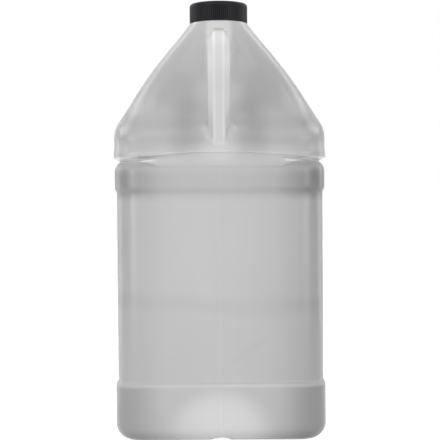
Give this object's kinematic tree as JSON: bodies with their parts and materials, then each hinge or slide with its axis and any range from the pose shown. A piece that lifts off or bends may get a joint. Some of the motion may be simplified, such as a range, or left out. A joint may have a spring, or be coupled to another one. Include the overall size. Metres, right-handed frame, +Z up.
{
  "type": "handled square jug",
  "caption": "Translucent square blow-moulded jug with a moulded-in front handle, bumper bands and a black ribbed screw cap with a foam liner.",
  "frame": {"origin": "middle of the base, on the surface that the jug stands on", "axes": "+Z up along the neck, -Y towards the handle, +X to the right as seen from the handle's side"},
  "size_m": [0.1404, 0.1402, 0.2946],
  "materials": {
    "natural_plastic": "satin, milky translucent",
    "black_plastic": "semi-gloss",
    "liner_foam": "matt foam"
  },
  "bodies": {
    "jug": {"jug_body": "natural_plastic"},
    "liner": {"cap_liner": "liner_foam"},
    "cap": {"screw_cap": "black_plastic"}
  },
  "joints": [
    {"name": "cap_lift", "type": "slide", "parent": "jug", "child": "liner", "axis": [0, 0, 1], "range_m": [0, 0.0138]},
    {"name": "cap_turn", "type": "hinge", "parent": "liner", "child": "cap", "pos_m": [0, 0, 0.288], "axis": [0, 0, 1], "range_deg": [0, 1170]}
  ],
  "couplings": [
    {"joint": "cap_lift", "follows": "cap_turn", "m_per_rad": 0.00067375}
  ]
}
